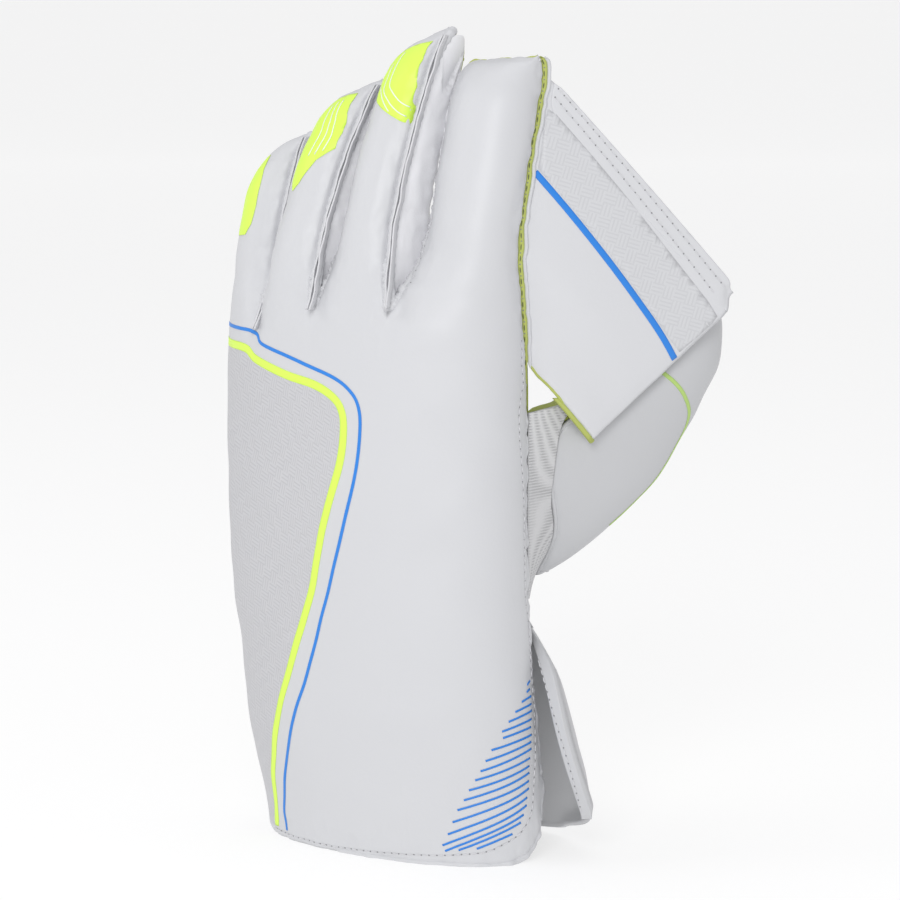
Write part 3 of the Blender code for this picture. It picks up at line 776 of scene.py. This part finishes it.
bmesh.ops.bisect_plane(
    cord, geom=whole, plane_co=(0.0, 0.0, CORD_TOP), plane_no=(0.0, 0.0, 1.0), clear_outer=True
)
bmesh.ops.holes_fill(cord, edges=[edge for edge in cord.edges if edge.is_boundary], sides=40)
bmesh.ops.translate(cord, vec=Vector((0.6, 0.9, 0.7)) * MM, verts=cord.verts)
finished("web_edging", cord, lime_edging, ["web_piping"])

# Web of the catching pocket: two plies of white leather sewn together, stretched from
# the index finger to the thumb. Its outer edge is folded over and sewn twice, and its
# lower edge has a lime cord.
WEB_WALL = 2.2 * MM
web_leather = coated_leather("white_web_leather", (0.63, 0.635, 0.655))
WEB_LOOK = Vector((0.62, -0.78, 0.0))


def seen_from(ground, bearing, along, height):
    """Find the point of a surface that is seen at a place in a view, in millimetres."""
    turn = math.radians(bearing)
    across = Vector((math.cos(turn), math.sin(turn), 0.0))
    toward = Vector((math.sin(turn), -math.cos(turn), 0.0))
    start = across * along * MM + Vector((0.0, 0.0, height * MM))
    point, normal, _, _ = ground.ray_cast(start + toward * 0.3, -toward)
    if point is None:
        point, normal, _, _ = ground.find_nearest(start + toward * 0.03)
    return point, normal


web = smoothed(outer_face("thumb_web", WEB_LOOK), 3)
worn_in(
    web,
    roll=0.5 * MM,
    roll_width=1.8 * MM,
    puff=0.3 * MM,
    pucker=0.25 * MM,
    pucker_length=7.0 * MM,
    crease=0.7 * MM,
    seed=41.0,
)
TUCK = Vector((-0.7, -0.7, 0.0)) * 1.5 * MM
TUCK_REACH = 9 * MM
HEM_BACK = 1.3 * MM
HEM_CORNER = (97 * MM, 201 * MM, 12 * MM)
for vert in web.verts:
    gap = piping_surface.find_nearest(vert.co)[3]
    vert.co += TUCK * (1 - ease(gap / TUCK_REACH))
drawn_in(web, *HEM_CORNER, (-4.0 * MM, 1.6 * MM))
web_surface = surface(web)
finished("web_leather", web, web_leather, ["thumb_web"], WEB_WALL)
hem = smoothed(outer_face("web_hem", WEB_LOOK), 3)
bmesh.ops.translate(hem, vec=-WEB_LOOK * HEM_BACK, verts=hem.verts)
drawn_in(hem, *HEM_CORNER, (-4.2 * MM, 1.8 * MM))
drawn_in(hem, 28 * MM, 281 * MM, 8 * MM, (0.4 * MM, -1.6 * MM))
finished("web_hem_fold", hem, web_leather, ["web_hem"], 1.0 * MM)
hemmed = bmesh.new()
for piece in ("web_leather", "web_hem_fold"):
    hemmed.from_mesh(bpy.data.objects[piece].data)
hemmed_surface = surface(hemmed)
hemmed.free()
on_web = partial(seen_from, web_surface, VIEW_BEARING)
HEM_ROWS = [
    [(29.8, 276.6), (61.2, 240.2), (91.4, 204.0)],
    [(28.6, 273.6), (58.6, 238.2), (87.6, 201.8)],
    [(23.4, 270.0), (20.6, 250.0), (18.2, 230.0), (17.4, 205.0), (19.2, 190.0)],
]
on_hem = partial(seen_from, hemmed_surface, VIEW_BEARING)
hem_rows = [[on_hem(*spot)[0] for spot in flowing(row)] for row in HEM_ROWS]
stitches("web_hem_stitches", hem_rows, hemmed_surface, white_thread, pitch=3.2 * MM)
LOWER_EDGE = [(18.9, 180.0), (24.8, 171.6), (30.8, 163.6)]
roll(
    "web_lower_edging", [on_web(*spot)[0] for spot in flowing(LOWER_EDGE)], web_surface, 0.6 * MM,
    lime_edging, "lime_edging", swell=0.05, lift=-0.3 * MM,
)

# Cuff leaf on the palm side: white leather over foam, flared at its free thumb side.
# A strip of the same leather is sewn over its edge.
BINDING_WALL = 4.2 * MM
FREE_CORNER = (46 * MM, 2 * MM, 20 * MM, (-8.0 * MM, 4.0 * MM))
# Painted shade: the cuff's leather is given a darker colour than the back's, for the shade on the palm
# side.
cuff_leather_painted_shade = coated_leather("white_cuff_leather_painted_shade", (0.56, 0.565, 0.58))
leaf = smoothed(outer_face("palm_cuff"), 2)
worn_in(
    leaf,
    roll=0.6 * MM,
    roll_width=2.4 * MM,
    puff=0.4 * MM,
    pucker=0.3 * MM,
    pucker_length=7.0 * MM,
    crease=0.8 * MM,
    seed=51.0,
)
drawn_in(leaf, *FREE_CORNER)
finished("palm_cuff_leather", leaf, cuff_leather_painted_shade, ["palm_cuff"], LEATHER_WALL)
bound = smoothed(outer_face("palm_cuff_binding"), 3)
drawn_in(bound, *FREE_CORNER)
bound_surface = surface(bound)
finished(
    "palm_cuff_bound_edge", bound, cuff_leather_painted_shade, ["palm_cuff_binding"], BINDING_WALL
)
BINDING_ROW = [(23.5, 70.6), (28.8, 52.4), (34.5, 33.4), (39.2, 15.1)]
binding_row = [seen_from(bound_surface, VIEW_BEARING, *spot)[0] for spot in flowing(BINDING_ROW)]
stitches("binding_stitches", [binding_row], bound_surface, white_thread, pitch=3.0 * MM)

# Mesh gusset: knitted grey air mesh between the back's edge and the thumb. It is sewn in
# under both leathers and gives when the thumb moves.
knit_mesh, taken, given = new_group(
    "knit_mesh", {"Courses": 300.0}, {"Height": "NodeSocketFloat", "Hole_Shade": "NodeSocketFloat"}
)
place = add_node(knit_mesh, "ShaderNodeTexCoord").outputs["Object"]
courses = [
    add_node(
        knit_mesh,
        "ShaderNodeTexWave",
        {"Vector": place, "Scale": taken.outputs["Courses"], "Distortion": 0.6, "Detail": 1.0},
        bands_direction=way,
    ).outputs["Fac"]
    for way in ("X", "Z")
]
woven = add_node(knit_mesh, "ShaderNodeMath", {0: courses[0], 1: courses[1]}, operation="MULTIPLY")
knit_mesh.links.new(woven.outputs[0], given.inputs["Height"])
knit_mesh.links.new(woven.outputs[0], given.inputs["Hole_Shade"])
air_mesh_with_hole_shade = bpy.data.materials.new("grey_air_mesh_with_hole_shade")
air_mesh_with_hole_shade.use_nodes = True
tree = air_mesh_with_hole_shade.node_tree
knit = add_node(tree, "ShaderNodeGroup", node_tree=knit_mesh)
# Painted shade: the knit is coloured darker in its open holes, where it is recessed.
hole_shade_tone = add_node(
    tree,
    "ShaderNodeMix",
    {"Factor": knit.outputs["Hole_Shade"], "A": (0.62, 0.62, 0.63, 1.0), "B": (0.42, 0.42, 0.43, 1.0)},
    data_type="RGBA",
)
relief = add_node(
    tree,
    "ShaderNodeBump",
    {"Height": knit.outputs["Height"], "Strength": 0.5, "Distance": 0.4 * MM},
)
relief.invert = True
shader = tree.nodes["Principled BSDF"]
tree.links.new(hole_shade_tone.outputs["Result"], shader.inputs["Base Color"])
tree.links.new(relief.outputs["Normal"], shader.inputs["Normal"])
shader.inputs["Roughness"].default_value = 0.9
gusset = smoothed(outer_face("mesh_gusset", Vector((0.8, -0.6, 0.0))), 3)
GUSSET_LIFT = 7.2 * MM
GUSSET_BEND = 125 * MM
GUSSET_REACH = 8.5 * MM
reaches = [vert.co.dot(ACROSS_VIEW) for vert in gusset.verts]
for vert, reach in zip(gusset.verts, reaches):
    outward = (reach - min(reaches)) / (max(reaches) - min(reaches))
    high = ease((vert.co.z - GUSSET_BEND) / (24 * MM))
    vert.co += ACROSS_VIEW * GUSSET_REACH * high * outward
    vert.co.z += GUSSET_LIFT * high * (1 + 0.4 * outward)
finished("air_mesh_gusset", gusset, air_mesh_with_hole_shade, ["mesh_gusset"], 1.4 * MM)

# Prints on the back: lime and blue stripes of ink, pressed on the leather as thin films,
# round a field that has a grey basket pattern pressed in it.
PRINT_LIME = (0.68, 0.95, 0.10)
PRINT_BLUE = (0.012, 0.21, 0.70)
FILM_WALL = 0.12 * MM
PROUD = 0.16 * MM
FIELD_PROUD = 0.09 * MM
FIELD_PITCH = 3.0


def ink(name, colour):
    """Make a smooth print ink."""
    return coated_leather(name, colour, grain=1500.0, shade=0.03, depth=0.05)


lime_ink = ink("lime_print", PRINT_LIME)
blue_ink = ink("blue_print", PRINT_BLUE)


def stripe(name, ground, line, width, material, proud=PROUD, columns=4):
    """Lay a printed stripe of even width along a line on a surface."""
    walk = evenly(line, 1.0 * MM)
    shape = bmesh.new()
    rows = []
    for index, point in enumerate(walk):
        ahead = walk[min(index + 1, len(walk) - 1)] - walk[max(index - 1, 0)]
        _, normal, _, _ = ground.find_nearest(point)
        side = normal.cross(ahead).normalized()
        row = []
        for column in range(columns + 1):
            spot = point + side * width * (column / columns - 0.5)
            on, up, _, _ = ground.find_nearest(spot)
            row.append(shape.verts.new(on + up * proud))
        rows.append(row)
    for low, high in zip(rows, rows[1:]):
        for column in range(columns):
            shape.faces.new((low[column], high[column], high[column + 1], low[column + 1]))
    return finished(name, shape, material, wall=FILM_WALL)


def patch(name, outline, find, pitch, material, proud=PROUD):
    """Lay a printed patch with a given outline on a surface."""
    shape = bmesh.new()
    corners = [shape.verts.new((u, v, 0.0)) for u, v in outline]
    bmesh.ops.triangulate(shape, faces=[shape.faces.new(corners)])
    for axis in (0, 1):
        low = min(place[axis] for place in outline)
        high = max(place[axis] for place in outline)
        for cut in range(1, int((high - low) / pitch) + 1):
            at = Vector((0.0, 0.0, 0.0))
            at[axis] = low + cut * pitch
            across = Vector((0.0, 0.0, 0.0))
            across[axis] = 1.0
            whole = shape.verts[:] + shape.edges[:] + shape.faces[:]
            bmesh.ops.bisect_plane(shape, geom=whole, dist=1e-4, plane_co=at, plane_no=across)
    spread = shape.loops.layers.uv.new("spread")
    for face in shape.faces:
        for loop in face.loops:
            loop[spread].uv = loop.vert.co.xy
    for vert in shape.verts:
        point, normal = find(vert.co.x, vert.co.y)
        vert.co = point + normal * proud
    shape.normal_update()
    front = sum(face.calc_area() * face.normal.dot(find(*outline[0])[1]) for face in shape.faces)
    if front < 0:
        bmesh.ops.reverse_faces(shape, faces=shape.faces)
    return finished(name, shape, material, wall=FILM_WALL)


# Round the field on the back: places as degrees round the hand and height in millimetres.
LIME_LINE = [
    (-97, 183), (-80, 183.5), (-66.7, 183.1), (-54, 182.3), (-46.5, 178.9), (-25.5, 174.6),
    (-3.1, 171.6), (11.3, 167.4), (17.2, 162.3), (18.0, 154.8), (15.5, 144.3), (9.5, 132.5),
    (1.7, 118.4), (-9.5, 93.4), (-22.2, 75.6), (-41.0, 49.0), (-57.0, 23.2), (-62.5, 6.5),
    (-63.0, 3.5),
]
BLUE_LINE = [
    (-97, 189.5), (-80, 189.8), (-68.6, 189.6), (-49.0, 188.4), (-41.0, 184.3), (-14.8, 179.4),
    (11.3, 174.6), (23.0, 170.0), (27.9, 164.1), (28.4, 155.2), (25.3, 140.1), (18.7, 124.0),
    (4.1, 94.2), (-12.4, 67.8), (-35.9, 38.3), (-51.5, 15.1), (-54.0, 3.0),
]
lime_flow = flowing(LIME_LINE)
blue_flow = flowing(BLUE_LINE)
stripe(
    "lime_stripe", back_surface, [on_back(*spot)[0] for spot in lime_flow], 3.0 * MM, lime_ink,
)
stripe(
    "blue_stripe", back_surface, [on_back(*spot)[0] for spot in blue_flow], 1.25 * MM, blue_ink,
)
basket_emboss, taken, given = new_group(
    "basket_emboss", {"Stretch": 0.95, "Turn": 0.3}, {"Mask": "NodeSocketFloat"}
)
flat_place = add_node(basket_emboss, "ShaderNodeUVMap", uv_map="spread").outputs["UV"]
stretch = add_node(basket_emboss, "ShaderNodeCombineXYZ", {"X": taken.outputs["Stretch"], "Y": 1.0})
evened = add_node(
    basket_emboss, "ShaderNodeVectorMath", {0: flat_place, 1: stretch.outputs[0]}, operation="MULTIPLY"
)
turned = add_node(
    basket_emboss,
    "ShaderNodeVectorRotate",
    {"Vector": evened.outputs[0], "Angle": taken.outputs["Turn"]},
    rotation_type="Z_AXIS",
).outputs[0]
cells = add_node(basket_emboss, "ShaderNodeTexChecker", {"Vector": turned, "Scale": 0.23})
bars = [
    add_node(
        basket_emboss, "ShaderNodeTexWave", {"Vector": turned, "Scale": 0.225}, bands_direction=way
    ).outputs["Fac"]
    for way in ("X", "Y")
]
chosen = add_node(
    basket_emboss, "ShaderNodeMix", {"Factor": cells.outputs["Fac"], "A": bars[0], "B": bars[1]}
)
sharp = add_node(
    basket_emboss,
    "ShaderNodeMapRange",
    {"Value": chosen.outputs[0], "From Min": 0.55, "From Max": 0.85},
)
basket_emboss.links.new(sharp.outputs["Result"], given.inputs["Mask"])


def embossed(name, stretch, colour, strength):
    """Make the white leather with the faint grey basket pattern pressed in it."""
    material = coated_leather(name, WHITE)
    tree = material.node_tree
    shader = tree.nodes["Principled BSDF"]
    pattern = add_node(tree, "ShaderNodeGroup", node_tree=basket_emboss)
    pattern.inputs["Stretch"].default_value = stretch
    faint = add_node(
        tree, "ShaderNodeMath", {0: pattern.outputs["Mask"], 1: strength}, operation="MULTIPLY"
    )
    toned = add_node(
        tree,
        "ShaderNodeMix",
        {"Factor": faint.outputs[0], "A": (*colour, 1.0), "B": (0.38, 0.38, 0.40, 1.0)},
        data_type="RGBA",
    )
    pressed = add_node(
        tree,
        "ShaderNodeBump",
        {"Height": pattern.outputs["Mask"], "Strength": 0.8 * strength, "Distance": 0.3 * MM},
    )
    pressed.invert = True
    tree.links.new(toned.outputs["Result"], shader.inputs["Base Color"])
    tree.links.new(pressed.outputs["Normal"], shader.inputs["Normal"])
    return material


field_ink = embossed("embossed_field", 0.95, (0.55, 0.55, 0.57), 0.42)
FIELD_EDGE = [(-97.0, 4.0)]
patch(
    "embossed_field", lime_flow + FIELD_EDGE, on_back, FIELD_PITCH, field_ink,
    FIELD_PROUD,
)

# Fingertip prints: lime patches on three fingers that wrap over to the little finger's
# side, with fine white lines left out of the ink.
TIP_BEARING = -20
white_ink = ink("white_print", (0.86, 0.88, 0.80))


def tip_patch(finger, outline, lines):
    """Lay one fingertip's patch and the white lines across it."""
    find = partial(seen_from, back_surface, TIP_BEARING)
    patch(finger + "_tip_print", outline, find, 1.0, lime_ink, 0.24 * MM)
    for number, line in enumerate(lines):
        spots = [find(*spot)[0] for spot in flowing(line, 4)]
        stripe(
            f"{finger}_tip_line_{number}", back_surface, spots, 0.42 * MM, white_ink,
            0.42 * MM, columns=1,
        )


MIDDLE_TIP = [
    (8.6, 293.3), (3.8, 292.2), (-1.2, 290.0), (-5.0, 286.2), (-6.4, 281.0), (-6.2, 275.5),
    (-4.0, 272.4), (-0.2, 270.6), (4.2, 268.4), (8.4, 266.2), (11.6, 264.2), (11.6, 267.9),
    (11.2, 274.0), (10.6, 280.6), (9.8, 287.0),
]
RING_TIP = [
    (-20.1, 274.4), (-24.0, 273.9), (-27.5, 272.6), (-31.1, 269.4), (-33.0, 262.0),
    (-33.2, 252.0), (-31.5, 243.0), (-27.5, 239.5), (-24.9, 242.3), (-22.6, 246.6),
    (-20.1, 250.9), (-16.0, 254.9), (-15.9, 260.5), (-17.0, 266.6),
]
LITTLE_TIP = [
    (-55.0, 251.4), (-57.2, 250.2), (-60.2, 246.0), (-62.0, 238.0), (-62.0, 229.0),
    (-59.0, 222.0), (-53.6, 222.6), (-51.4, 226.6), (-51.2, 234.0), (-51.9, 243.0),
    (-53.4, 248.0),
]
tip_patch("middle", MIDDLE_TIP, [
    [(0.6, 289.2), (1.2, 283.2), (1.9, 278.0), (4.6, 275.4), (7.9, 272.6), (11.2, 270.0)],
    [(-1.6, 285.0), (-1.0, 280.0), (-0.2, 275.8), (3.6, 272.6), (7.4, 269.4), (11.2, 266.5)],
    [(-3.6, 277.0), (-1.0, 274.4), (2.4, 271.4), (5.8, 268.2)],
])
tip_patch("ring", RING_TIP, [
    [(-22.6, 271.9), (-20.6, 265.8), (-18.5, 259.8), (-19.2, 253.7)],
    [(-24.4, 271.2), (-22.4, 265.4), (-20.6, 259.8), (-21.6, 252.3)],
    [(-26.2, 269.9), (-24.6, 264.0), (-23.2, 260.0), (-24.3, 251.4)],
])
tip_patch("little", LITTLE_TIP, [])

# Hatch in the cuff's corner: twenty thin blue lines that rise towards the thumb side,
# each given by its two ends, as degrees round the hand and height in millimetres.
HATCH = [
    (94.2, 64.3, 96.9, 65.4), (93.3, 61.9, 96.6, 62.7), (90.4, 58.9, 97.0, 60.1),
    (87.5, 55.7, 96.8, 57.3), (85.0, 52.5, 96.5, 54.8), (82.7, 49.2, 96.2, 51.9),
    (83.0, 46.8, 95.9, 49.1), (79.1, 42.8, 95.6, 46.2), (77.3, 39.0, 95.3, 43.7),
    (75.9, 35.3, 95.1, 41.2), (74.5, 32.0, 94.9, 38.0), (72.9, 28.3, 94.7, 35.1),
    (71.6, 24.6, 94.5, 32.6), (69.9, 20.9, 94.3, 29.8), (68.6, 16.4, 93.6, 27.0),
    (67.3, 11.9, 92.9, 24.2), (65.8, 7.7, 92.2, 21.4), (66.6, 5.7, 90.8, 18.4),
    (70.7, 6.1, 89.1, 15.5), (75.7, 6.8, 86.5, 11.8),
]
for number, (left, low, right, high) in enumerate(HATCH):
    reach = [(left, low), ((left + right) / 2, (low + high) / 2 + 0.2), (right, high)]
    stripe(
        f"cuff_hatch_{number:02d}", back_surface, [on_back(*spot)[0] for spot in flowing(reach)],
        0.75 * MM, blue_ink, columns=2,
    )

# Web and thumb prints: a blue stripe and a pressed field on the web, and a lime stripe
# round the thumb, made as those on the back are.
WEB_FIELD = [
    (22.5, 248.5), (33.9, 235.4), (48.3, 217.6), (60.5, 201.0), (69.5, 188.0), (74.0, 181.8),
    (80.0, 186.6), (86.0, 191.8), (88.0, 194.4), (84.6, 199.8), (69.6, 218.7), (55.8, 236.4),
    (42.0, 252.8), (29.0, 267.6), (26.0, 269.6), (24.4, 262.0),
]
WEB_STRIPE = [
    (21.4, 247.4), (33.9, 232.9), (48.3, 214.9), (60.5, 198.3), (67.5, 188.0), (72.6, 178.9),
]
THUMB_STRIPE = [
    (62.5, 28.0, 175.0), (65.0, 35.0, 169.5), (65.8, 40.0, 164.0), (64.3, 44.3, 158.5),
    (62.0, 46.0, 151.8), (59.8, 45.2, 147.1), (56.3, 41.2, 138.0), (49.8, 32.6, 125.8),
    (43.2, 23.4, 116.7),
]
thumb_lime = ink("thumb_lime_print", (0.42, 0.60, 0.16))
web_ink = embossed("embossed_web", 1.0, (0.60, 0.605, 0.625), 0.2)
patch(
    "web_embossed_field", WEB_FIELD, on_web, FIELD_PITCH, web_ink, 0.07 * MM,
)
stripe(
    "web_blue_stripe", web_surface, [on_web(*spot)[0] for spot in flowing(WEB_STRIPE)],
    2.4 * MM, blue_ink,
)
stripe(
    "thumb_lime_stripe", stall_surface, [Vector(spot) * MM for spot in flowing(THUMB_STRIPE)],
    1.5 * MM, thumb_lime,
)

# Floor, light and camera: a wide pale bowl with a flat middle, which gives off an even
# white itself, three soft lamps, and the view.
FLOOR_RADIUS = 6.0
RIM_RADIUS = 2.0
STEPS = 12
profile = [(0.5, 0.0), (2.0, 0.0), (4.0, 0.0)]
for step in range(STEPS + 1):
    turn = math.radians(90) * step / STEPS
    profile.append((FLOOR_RADIUS + RIM_RADIUS * math.sin(turn), RIM_RADIUS * (1 - math.cos(turn))))
floor_mesh = bpy.data.meshes.new("floor")
ground_shape = bmesh.new()
bmesh.ops.create_circle(ground_shape, cap_ends=True, radius=profile[0][0], segments=96)
rim = [edge for edge in ground_shape.edges if edge.is_boundary]
for (inner, low), (outer, high) in zip(profile, profile[1:]):
    grown = bmesh.ops.extrude_edge_only(ground_shape, edges=rim)["geom"]
    ring = [part for part in grown if isinstance(part, bmesh.types.BMVert)]
    for vert in ring:
        vert.co = Vector((vert.co.x * outer / inner, vert.co.y * outer / inner, high))
    rim = [part for part in grown if isinstance(part, bmesh.types.BMEdge) and part.is_boundary]
bmesh.ops.recalc_face_normals(ground_shape, faces=ground_shape.faces)
ground_shape.to_mesh(floor_mesh)
ground_shape.free()
floor_mesh.shade_smooth()
floor = bpy.data.objects.new("floor", floor_mesh)
bpy.context.scene.collection.objects.link(floor)
paper = bpy.data.materials.new("pale_floor")
paper.use_nodes = True
paper_shader = paper.node_tree.nodes["Principled BSDF"]
paper_shader.inputs["Base Color"].default_value = (0.32, 0.32, 0.32, 1.0)
paper_shader.inputs["Roughness"].default_value = 0.9
paper_shader.inputs["Emission Color"].default_value = (1.0, 1.0, 1.0, 1.0)
paper_shader.inputs["Emission Strength"].default_value = 0.68
floor_mesh.materials.append(paper)

world = bpy.data.worlds.new("studio")
bpy.context.scene.world = world
world.use_nodes = True
sky = world.node_tree.nodes["Background"]
sky.inputs["Color"].default_value = (0.985, 0.985, 1.0, 1.0)
sky.inputs["Strength"].default_value = 0.55
LIGHTS = [
    ("key", (-1.5, -1.3, 1.4), 0.8, 5.0),
    ("front", (0.6, -1.25, 0.8), 0.6, 9.0),
    ("top", (-0.2, 0.1, 2.0), 1.0, 6.0),
]
for name, spot, size, power in LIGHTS:
    lamp_data = bpy.data.lights.new(name, "AREA")
    lamp_data.size = size
    lamp_data.energy = power
    lamp = bpy.data.objects.new(name, lamp_data)
    lamp.location = spot
    aim = Vector((0.0, 0.0, 0.15)) - Vector(spot)
    lamp.rotation_euler = aim.to_track_quat("-Z", "Y").to_euler()
    bpy.context.scene.collection.objects.link(lamp)
bpy.context.scene.view_settings.view_transform = "Standard"

ELEVATION = math.radians(7)
DISTANCE = 1.3
FRAME_WIDTH = 0.3285
AIM = Vector((-0.0023, -0.0117, 0.145))
back_off = Vector((
    math.sin(VIEW_TURN) * math.cos(ELEVATION),
    -math.cos(VIEW_TURN) * math.cos(ELEVATION),
    math.sin(ELEVATION),
))
camera_data = bpy.data.cameras.new("camera")
camera_data.lens = camera_data.sensor_width * DISTANCE / FRAME_WIDTH
camera_data.clip_end = 4 * FLOOR_RADIUS
camera = bpy.data.objects.new("camera", camera_data)
camera.location = AIM + back_off * DISTANCE
camera.rotation_euler = (-back_off).to_track_quat("-Z", "Y").to_euler()
bpy.context.scene.collection.objects.link(camera)
bpy.context.scene.camera = camera
